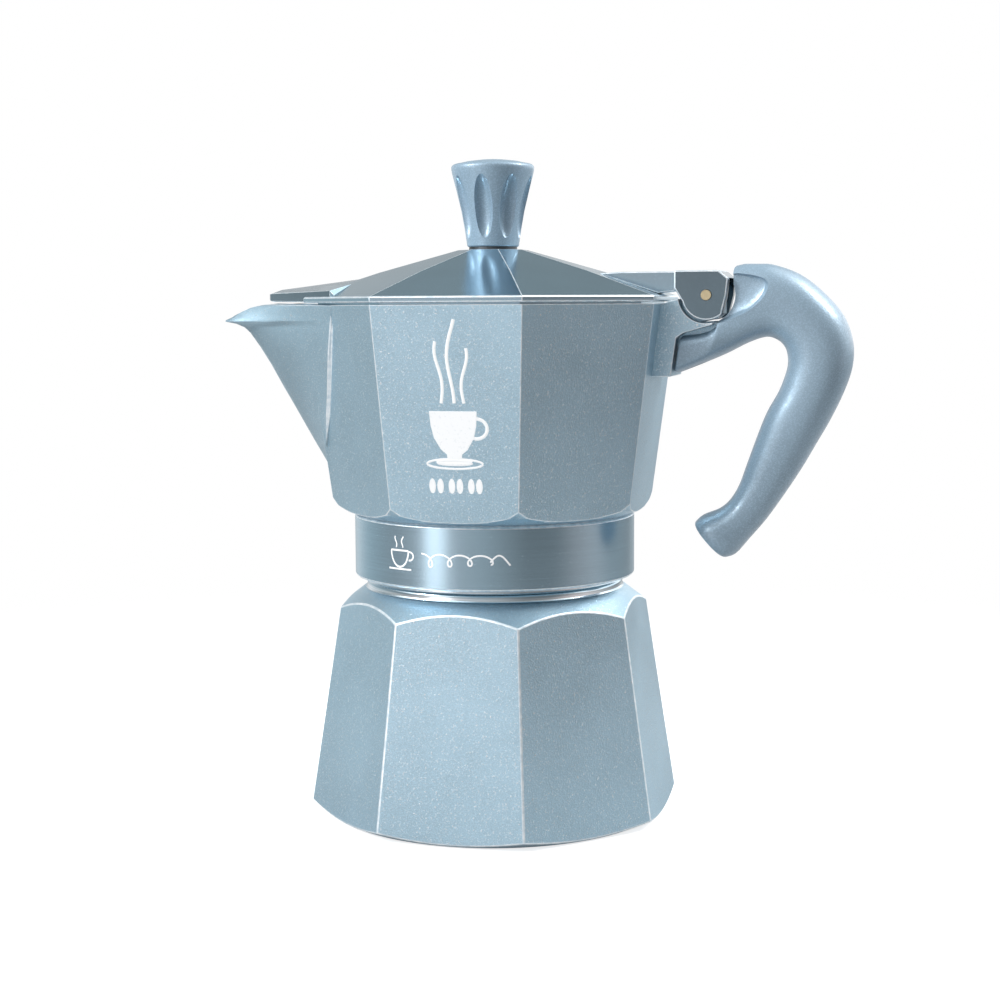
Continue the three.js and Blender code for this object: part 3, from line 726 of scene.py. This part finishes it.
def handle_section(station, fullness, steps=48):
    """An oval between the outer and the inner point of a station, squarer where fullness is low."""
    outer_x, outer_z, inner_x, inner_z, half_width = station
    ring = []
    for i in range(steps):
        angle = 2 * math.pi * i / steps
        along = math.copysign(abs(math.cos(angle)) ** fullness, math.cos(angle))
        across = math.copysign(abs(math.sin(angle)) ** fullness, math.sin(angle))
        ring.append(((outer_x + inner_x + (outer_x - inner_x) * along) / 2, half_width * across,
                     (outer_z + inner_z + (outer_z - inner_z) * along) / 2))
    return ring


def between(stations, position):
    """The station at a fractional position, on a smooth curve through its four neighbours."""
    i = min(int(position), len(stations) - 2)
    t = position - i
    a = stations[max(i - 1, 0)]
    b, c = stations[i], stations[i + 1]
    d = stations[min(i + 2, len(stations) - 1)]
    return tuple(
        0.5 * (2 * q + (r - p) * t + (2 * p - 5 * q + 4 * r - s) * t ** 2
               + (3 * q - p - 3 * r + s) * t ** 3)
        for p, q, r, s in zip(a, b, c, d))


def dish(side):
    """The hollow in the handle's side: a rounded tongue, open at the hinge, that deepens to a floor."""
    outline = ([(50, 131.8), (61.8, 131.8)]
               + [between(((61.8, 131.8), (65.3, 131.2), (67.6, 130.2), (68.1, 128.6), (66.6, 125.8),
                           (63.4, 123), (57.9, 120.4)), i / 4) for i in range(1, 25)]
               + [(50, 118.9)])
    rings = []
    for y, long, tall in ((6.0, 0.55, 0.78), (6.1, 0.72, 0.88), (6.4, 0.87, 0.945), (7.1, 0.955, 0.98),
                          (8.2, 0.995, 1.0), (9.6, 1.02, 1.01), (12.0, 1.05, 1.04)):
        rings.append([(48 + (x - 48) * long, side * y, 126 + (z - 126) * tall) for x, z in outline])
    return lofted(rings)


def handle_solid():
    per_station = 4
    square_end, oval, first_oval = 0.5, 0.86, 5
    rings = []
    for i in range((len(HANDLE_STATIONS) - 1) * per_station + 1):
        position = i / per_station
        fullness = square_end + (oval - square_end) * min(position / first_oval, 1)
        rings.append(handle_section(between(HANDLE_STATIONS, position), fullness))
    body = softened(lofted(rings), 0.45, 3, 50)
    pocket = bmesh.new()
    bmesh.ops.create_cube(pocket, size=1, matrix=Matrix.Translation((50.85 * MM, 0, 119.15 * MM))
                          @ Matrix.Diagonal((13.7 * MM, 8.6 * MM, 9.7 * MM, 1)))
    bar_gap = prism([(50, 129.1), (59.75, 129.1), (59.75, 139), (50, 139)], -12, 12)
    screw_hole, head_hole = rod("Z", 1.65, 105, 116, (50, 0)), rod("Z", 2.8, 100, 112.6, (50, 0))
    return combined(body, *cut(
        dish(1), dish(-1), pocket, rod("Y", 6.6, -12, 12, PIN, 96), bar_gap, screw_hole, head_hole))


# ---- White print ---------------------------------------------------------------------------------

def line_print(strokes):
    """Thin raised lines: each stroke is (width, points), on a plane, in millimetres."""
    curve = bpy.data.curves.new("lines", "CURVE")
    curve.dimensions = "3D"
    curve.bevel_depth = 0.5 * MM
    curve.bevel_resolution = 2
    curve.use_fill_caps = True
    for width, points in strokes:
        spline = curve.splines.new("POLY")
        spline.points.add(len(points) - 1)
        for point, (u, v) in zip(spline.points, points):
            point.co = (u * MM, v * MM, 0, 1)
            point.radius = width
    holder = bpy.data.objects.new("lines", curve)
    bpy.context.scene.collection.objects.link(holder)
    bpy.context.view_layer.update()
    mesh = bpy.data.meshes.new_from_object(holder.evaluated_get(bpy.context.evaluated_depsgraph_get()))
    bpy.data.objects.remove(holder)
    bm = bmesh.new()
    bm.from_mesh(mesh)
    bpy.data.meshes.remove(mesh)
    bmesh.ops.scale(bm, verts=bm.verts, vec=(1, 1, 0.12))
    return outward(bm)


def wisp(u, low, high, swing, phase):
    """A rising line of steam."""
    rise = [i / 28 for i in range(29)]
    return [(u + swing * math.sin(phase + 5.2 * t) * (0.35 + 0.65 * t), low + (high - low) * t)
            for t in rise]


def straight(*corners):
    """Short steps along straight runs, so that a line can be laid round a curve."""
    path = []
    for (u0, v0), (u1, v1) in zip(corners, corners[1:]):
        path += [(u0 + (u1 - u0) * i / 6, v0 + (v1 - v0) * i / 6) for i in range(6)]
    return path + [corners[-1]]


def ellipse_line(u, v, a, b, start=0, end=360, steps=28):
    angles = [math.radians(start + (end - start) * i / steps) for i in range(steps + 1)]
    return [(u + a * math.cos(t), v + b * math.sin(t)) for t in angles]


def cup_print():
    """A steaming cup over a row of beans, drawn on a plane about its own middle."""
    lines = line_print(
        [(0.75, wisp(-2.6, 1.4, 15.5, 1.1, 0.4)), (0.8, wisp(0.2, 1.4, 20.5, 1.3, 2.0)),
         (0.75, wisp(3.0, 1.4, 14.0, 1.1, 3.4)),
         (0.8, ellipse_line(5.6, -4.4, 2.5, 2.3, -112, 118)),
         (0.5, ellipse_line(0.2, -12.6, 6.6, 1.15)), (0.9, ellipse_line(0.2, -12.2, 4.0, 0.45))])
    bowl = [(-5.4, -0.4), (5.8, -0.4), (5.6, -3.6), (4.9, -6.6), (3.4, -9.2), (2.0, -10.4),
            (1.9, -11.4), (-1.5, -11.4), (-1.6, -10.4), (-3.0, -9.2), (-4.5, -6.6), (-5.2, -3.6)]
    parts = [lines, prism(bowl, -0.05, 0.06, "Z")]
    for u in (-4.4, 0.2, 4.8):
        for side in (1, -1):
            bean = ellipse_line(u + side * 0.95, -17.8, 0.78, 1.75, 0, 345, 23)
            parts.append(prism(bean, -0.05, 0.06, "Z"))
    return merged(parts)


def scroll_print():
    """A small cup and a looping line for the collar, drawn flat."""
    loops = [(-6.5 + 17 * t + 1.5 * math.sin(22 * t),
              1.6 * math.cos(22 * t) * (1 - 0.35 * t) - 0.6 + 0.5 * t)
             for t in (i / 110 for i in range(111))]
    tail = [(10.4 + 4.6 * t, -0.6 + 1.6 * math.sin(3.6 * t)) for t in (i / 16 for i in range(17))]
    return line_print([
        (0.4, loops), (0.4, tail),
        (0.42, straight((-15.6, 1.3), (-10.2, 1.3))),
        (0.42, ellipse_line(-12.9, 1.3, 2.7, 3.9, 180, 360)),
        (0.4, ellipse_line(-9.9, 0.1, 1.1, 1.0, -100, 110)), (0.4, straight((-16.4, -3.1), (-9.4, -3.1))),
        (0.34, wisp(-14.0, 2.0, 4.6, 0.4, 0.5)), (0.34, wisp(-12.0, 2.0, 4.6, 0.4, 2.0))])


def merged(parts):
    """One bmesh out of several."""
    whole = bmesh.new()
    for part in parts:
        mesh = bpy.data.meshes.new("part")
        part.to_mesh(mesh)
        part.free()
        whole.from_mesh(mesh)
        bpy.data.meshes.remove(mesh)
    return whole


# ---- Operators -----------------------------------------------------------------------------------

class MOKA_OT_finishes(bpy.types.Operator):
    """Make every finish and dress the CAD pieces that stay as they are"""
    bl_idname = "moka.finishes"
    bl_label = "Finishes"

    def execute(self, context):
        finish = context.scene.moka_finish
        cast_metal(finish)
        polished_metal(finish)
        # a darker copy of the lid's finish: painted shade for the hinge end and the spout cover's lower
        # faces
        polished_metal(finish, "painted_shade_polish", 0.5)
        painted_edge_highlight()
        turned_ring(finish)
        brushed_ring(finish)
        flake_plastic(finish)
        soft_rubber()
        white_print()
        bare = plain_metal("pressed_metal", (0.72, 0.75, 0.77), 0.3, 300, (1, 1, 0.2))
        brass = plain_metal("turned_brass", (0.78, 0.69, 0.45), 0.26, 600)
        steel = plain_metal("turned_steel", (0.60, 0.62, 0.63), 0.24, 600)
        dark = plain_metal("dark_steel", (0.10, 0.11, 0.12), 0.35, 600)
        for node in ("funnel_sieve", "filter_plate"):
            dress(node, bare)
        for node in ("valve_body", "valve_seat", "knob_insert", "hinge_pin"):
            dress(node, brass)
        for node in ("valve_washer", "valve_plunger", "valve_spring", "handle_screw", "knob_screw"):
            dress(node, steel)
        dress("knob_washer", dark)
        dress("gasket", metal("soft_rubber"))
        return {"FINISHED"}


class MOKA_OT_boiler(bpy.types.Operator):
    """Build the boiler's shell and the thread on its neck"""
    bl_idname = "moka.boiler"
    bl_label = "Boiler"

    def execute(self, context):
        sizes = context.scene.moka_sizes
        piece = finished(boiler_solid(sizes), "boiler_shell", "boiler",
                         metal("cast_metal"), ("boiler",))
        mark_edges(piece, metal("painted_edge_highlight"))
        piece.data.materials.append(metal("turned_ring"))
        for face in piece.data.polygons:
            if face.center.z > NECK_Z * MM:
                face.material_index = SECOND
        ridge = helix_ridge(31.2, 32.1, 59.0, 2.6, sizes.thread_pitch)
        finished(ridge, "neck_thread", "boiler", metal("brushed_ring"))
        return {"FINISHED"}


class MOKA_OT_collector(bpy.types.Operator):
    """Build the collector with its spout, collar and hinge bracket"""
    bl_idname = "moka.collector"
    bl_label = "Collector"

    def execute(self, context):
        sizes = context.scene.moka_sizes
        piece = finished(collector_solid(sizes), "collector_shell", "collector",
                         metal("cast_metal"), ("collector",))
        mark_edges(piece, metal("painted_edge_highlight"))
        piece.data.materials.append(metal("brushed_ring"))
        for face in piece.data.polygons:
            if face.center.z < COLLAR_TOP * MM and face.material_index == MAIN:
                face.material_index = SECOND
            heights = [piece.data.vertices[i].co.z for i in face.vertices]
            rise = max(heights) - min(heights)
            if face.center.x < -32 * MM and 84 * MM < face.center.z < 121 * MM:
                at_root = face.center.x > -38.5 * MM and abs(face.center.y) > 14 * MM
                if rise < 0.5 * MM:
                    face.material_index = MAIN
                # the narrow root faces take the painted edge highlight, a white line along the spout's seam
                elif at_root and face.area < 1.1 * MM * rise:
                    face.material_index = BRIGHT
        return {"FINISHED"}


class MOKA_OT_lid(bpy.types.Operator):
    """Build the lid with its spout cover and hinge ears"""
    bl_idname = "moka.lid"
    bl_label = "Lid"

    def execute(self, context):
        piece = finished(lid_solid(context.scene.moka_sizes), "lid_shell", "lid",
                         metal("polished_metal"), ("lid",), 24.0)
        mark_edges(piece, metal("painted_edge_highlight"))
        piece.data.materials.append(metal("painted_shade_polish"))
        # painted shade: the hinge end and the cover's downward and sideways faces take the darker copy
        for face in piece.data.polygons:
            hinge_end = face.center.x > 46.05 * MM
            at_cover = face.center.x < -34 * MM and face.center.z < 128.2 * MM
            if face.material_index == MAIN and (hinge_end or at_cover and face.normal.z < 0.3):
                face.material_index = SECOND
        return {"FINISHED"}


class MOKA_OT_print(bpy.types.Operator):
    """Lay the white print on the cup's front face and round the collar"""
    bl_idname = "moka.white_print"
    bl_label = "White Print"

    def execute(self, context):
        rise = CUP_HIGH[1] - CUP_LOW[1]
        lean = math.atan((CUP_HIGH[0] - CUP_LOW[0]) * FLAT / rise)
        up = Vector((0, -math.sin(lean), math.cos(lean)))
        out = Vector((0, -math.cos(lean), -math.sin(lean)))
        middle_z = 101.2
        reach = (CUP_LOW[0] + (CUP_HIGH[0] - CUP_LOW[0]) * (middle_z - CUP_LOW[1]) / rise) * FLAT
        place = Matrix.Translation(Vector((0.6, -reach, middle_z)) * MM) @ Matrix((
            (1, up.x, out.x, 0), (0, up.y, out.y, 0), (0, up.z, out.z, 0), (0, 0, 0, 1)))
        emblem = cup_print()
        bmesh.ops.transform(emblem, matrix=place, verts=emblem.verts)
        finished(emblem, "cup_print", "collector", metal("white_print"))
        scroll = scroll_print()
        radius = 34.65 * MM
        for vert in scroll.verts:
            angle = math.radians(-94.2) + vert.co.x / radius
            spread = radius + vert.co.z
            vert.co = (spread * math.cos(angle), spread * math.sin(angle), vert.co.y + 66.2 * MM)
        outward(scroll)
        finished(scroll, "collar_print", "collector", metal("white_print"))
        return {"FINISHED"}


class MOKA_OT_knob(bpy.types.Operator):
    """Build the fluted knob"""
    bl_idname = "moka.knob"
    bl_label = "Knob"

    def execute(self, context):
        finished(knob_solid(), "fluted_knob", "lid", metal("flake_plastic"),
                 ("lid_knob",), 30.0)
        return {"FINISHED"}


class MOKA_OT_handle(bpy.types.Operator):
    """Build the curved handle"""
    bl_idname = "moka.handle"
    bl_label = "Handle"

    def execute(self, context):
        finished(handle_solid(), "curved_handle", "collector", metal("flake_plastic"),
                 ("handle",), 30.0)
        return {"FINISHED"}


class MOKA_OT_insides(bpy.types.Operator):
    """Build the coffee funnel and the column"""
    bl_idname = "moka.insides"
    bl_label = "Insides"

    def execute(self, context):
        finished(funnel_solid(), "coffee_funnel", "funnel", metal("pressed_metal"),
                 ("funnel_basket",))
        finished(column_solid(), "coffee_column", "collector", metal("pressed_metal"),
                 ("column",))
        return {"FINISHED"}


class MOKA_OT_stage(bpy.types.Operator):
    """Set the floor, the studio light and the camera"""
    bl_idname = "moka.stage"
    bl_label = "Stage"

    def execute(self, context):
        scene = context.scene
        floor_bm = bmesh.new()
        bmesh.ops.create_circle(floor_bm, cap_ends=True, segments=96, radius=0.4)
        floor = carry(floor_bm, "floor")
        floor.data.materials.append(self.floor_white())
        self.sky(scene)
        self.lamps(scene)
        self.camera(scene)
        return {"FINISHED"}

    def floor_white(self):
        """Pale floor that glows a little and thins out before its edge."""
        shader = Shader("floor_white")
        tone = shader.noise(60, 2, 0.5)
        base = shader.blend(tone, (0.46, 0.46, 0.46, 1), (0.5, 0.5, 0.5, 1))
        away = shader.node("ShaderNodeVectorMath", {"operation": "LENGTH"},
                           {0: shader.place()}, output="Value")
        camera_ray = shader.node("ShaderNodeLightPath", output="Is Camera Ray")
        base = shader.blend(camera_ray, (0.3, 0.3, 0.3, 1.0), base)
        glow = shader.blend(camera_ray, (0.2, 0.2, 0.2, 1.0), (1.0, 1.0, 1.0, 1.0))
        return shader.close({"Roughness": 0.9, "Emission Strength": 0.74}, {
            "Base Color": base, "Alpha": 1.0 - away.ramp(0.12, 0.36), "Emission Color": glow})

    def sky(self, scene):
        """White to the camera; to the metal, a studio whose brightness turns with direction."""
        scene.world = bpy.data.worlds.new("studio")
        shader = Shader("studio", scene.world)
        direction = shader.node("ShaderNodeTexCoord", output="Generated")
        axes = [shader.node("ShaderNodeSeparateXYZ", inputs={0: direction}, output=i) for i in range(3)]
        bearing = axes[0].math("ARCTAN2", axes[0], axes[1] * -1.0) * (180 / math.pi) - CAMERA_BEARING
        turn = (bearing * (1 / 360) + 0.5).math("FRACT", bearing * (1 / 360) + 0.5)

        def around(*stops):
            """A closed ring of light; a stop is a bearing right of the camera's, a grey and a warmth."""
            stops += ((180, *stops[0][1:]),)
            return shader.node("ShaderNodeValToRGB", {"stops": [
                ((angle + 180) / 360, (grey * (1 + warm), grey, grey * (1 - warm * 0.2), 1))
                for angle, grey, warm in stops]}, {0: turn})

        above = around(
            (-180, 0.5, 0), (-150, 0.9, 0), (-119, 0.44, -0.08), (-85, 0.42, 0), (-60, 0.62, 0.1),
            (-29, 0.6, 0.15), (0, 0.38, 0.1), (30, 0.2, 0.1), (61, 0.17, 0.1), (100, 0.5, 0), (151, 1.7, 0))
        level = around(
            (-180, 0.5, 0), (-150, 0.9, 0), (-122, 0.6, -0.08), (-88, 0.36, 0.05), (-62, 0.5, 0.1),
            (-54, 2.6, 0.1), (-45, 2.6, 0.1), (-36, 0.7, 0.1), (-12, 0.6, 0), (25, 0.22, 0), (50, 0.25, 0),
            (68, 0.5, 0.2), (88, 0.65, 0.15), (112, 0.4, 0), (140, 0.32, 0), (160, 0.6, 0))
        dip = around(
            (-180, 0.5, 0), (-119, 0.4, -0.05), (-85, 0.4, 0.1), (-50, 0.2, 0.15), (-29, 0.12, 0.2),
            (0, 0.2, 0.2), (40, 0.16, 0.3), (75, 0.2, 0.25), (110, 0.3, 0), (151, 0.85, 0))
        low = around(
            (-180, 0.3, 0), (-150, 0.2, 0), (-119, 0.16, 0), (-85, 0.3, 0), (-60, 1.1, 0), (-29, 1.45, 0),
            (0, 0.8, 0), (30, 0.15, -0.1), (61, 0.12, -0.12), (100, 0.3, 0), (151, 1.0, 0))
        high = around(
            (-180, 0.32, -0.12), (-150, 0.4, 0), (-119, 0.36, -0.05), (-70, 0.7, 0), (-30, 0.7, 0),
            (30, 0.4, 0), (70, 0.5, 0), (130, 0.5, 0), (165, 0.3, -0.1))
        sky = shader.blend(axes[2].ramp(-0.04, 0.06), level, above)
        sky = shader.blend(axes[2].ramp(-0.16, -0.22), sky, dip)
        sky = shader.blend(axes[2].ramp(-0.28, -0.36), sky, low)
        sky = shader.blend(axes[2].ramp(0.18, 0.4), sky, high)
        glows = ((110, 38, 44, 1.9), (-68, 40, 38, 2.4), (105, 50, 18, 5.0))
        for bearing_deg, height_deg, spread_deg, strength in glows:
            compass, climb = math.radians(bearing_deg + CAMERA_BEARING), math.radians(height_deg)
            level_part = math.cos(climb)
            aim = (math.sin(compass) * level_part, -math.cos(compass) * level_part, math.sin(climb))
            near = shader.node("ShaderNodeVectorMath", {"operation": "DOT_PRODUCT"},
                               {0: direction, 1: aim}, output="Value")
            glow = near.ramp(math.cos(math.radians(spread_deg)), math.cos(math.radians(spread_deg * 0.45)))
            sky = shader.blend(glow, sky, (strength, strength, strength, 1))
        camera_ray = shader.node("ShaderNodeLightPath", output="Is Camera Ray")
        colour = shader.blend(camera_ray, sky, (1.0, 1.0, 1.0, 1.0))
        background = shader.node("ShaderNodeBackground", inputs={"Color": colour, "Strength": 1.0})
        shader.node("ShaderNodeOutputWorld", inputs={"Surface": background})

    def lamps(self, scene):
        """A soft box on the left and one behind on the right."""
        for name, place, size, power in (
            ("left_box", (-0.75, -0.6, 0.6), (0.25, 0.25), 8.5),
            ("right_box", (0.8, 0.3, 0.85), (0.35, 0.35), 7.5),
        ):
            lamp = bpy.data.lights.new(name, "AREA")
            lamp.shape = "RECTANGLE"
            lamp.size, lamp.size_y = size
            lamp.energy = power
            holder = bpy.data.objects.new(name, lamp)
            holder.location = place
            aim = Vector((0, 0, 0.08)) - Vector(place)
            holder.rotation_euler = aim.to_track_quat("-Z", "Y").to_euler()
            scene.collection.objects.link(holder)

    def camera(self, scene):
        """Level with the collector's rim, turned a little towards the handle."""
        lens = bpy.data.cameras.new("camera")
        lens.lens = 65.5
        lens.sensor_width = 36
        holder = bpy.data.objects.new("camera", lens)
        bearing = math.radians(CAMERA_BEARING)
        toward = Vector((math.sin(bearing), -math.cos(bearing), 0))
        aside = Vector((math.cos(bearing), math.sin(bearing), 0))
        holder.location = toward * 0.450 + aside * 0.00134 + Vector((0, 0, 0.1248))
        pitch, roll = math.radians(6.14), math.radians(-0.31)
        turn = Matrix.Rotation(bearing, 4, "Z") @ Matrix.Rotation(math.pi / 2 - pitch, 4, "X")
        holder.rotation_euler = (turn @ Matrix.Rotation(roll, 4, "Z")).to_euler()
        scene.collection.objects.link(holder)
        scene.camera = holder
        scene.view_settings.view_transform = "Standard"


class MOKA_PT_panel(bpy.types.Panel):
    """The pot's settings and its building steps"""
    bl_idname = "MOKA_PT_panel"
    bl_label = "Moka Pot"
    bl_space_type = "VIEW_3D"
    bl_region_type = "UI"
    bl_category = "Moka Pot"

    def draw(self, context):
        for group in (context.scene.moka_finish, context.scene.moka_sizes):
            for key in group.__annotations__:
                self.layout.prop(group, key)
        for step in STEPS:
            self.layout.operator(step.bl_idname)


STEPS = (MOKA_OT_finishes, MOKA_OT_boiler, MOKA_OT_collector, MOKA_OT_print, MOKA_OT_lid, MOKA_OT_knob,
         MOKA_OT_handle, MOKA_OT_insides, MOKA_OT_stage)
CLASSES = (MokaFinish, MokaSizes, *STEPS, MOKA_PT_panel)


def register():
    for cls in CLASSES:
        bpy.utils.register_class(cls)
    bpy.types.Scene.moka_finish = bpy.props.PointerProperty(type=MokaFinish)
    bpy.types.Scene.moka_sizes = bpy.props.PointerProperty(type=MokaSizes)


def unregister():
    del bpy.types.Scene.moka_sizes
    del bpy.types.Scene.moka_finish
    for cls in reversed(CLASSES):
        bpy.utils.unregister_class(cls)


def main():
    register()
    for step in STEPS:
        group, name = step.bl_idname.split(".")
        getattr(getattr(bpy.ops, group), name)()


if __name__ == "__main__":
    main()
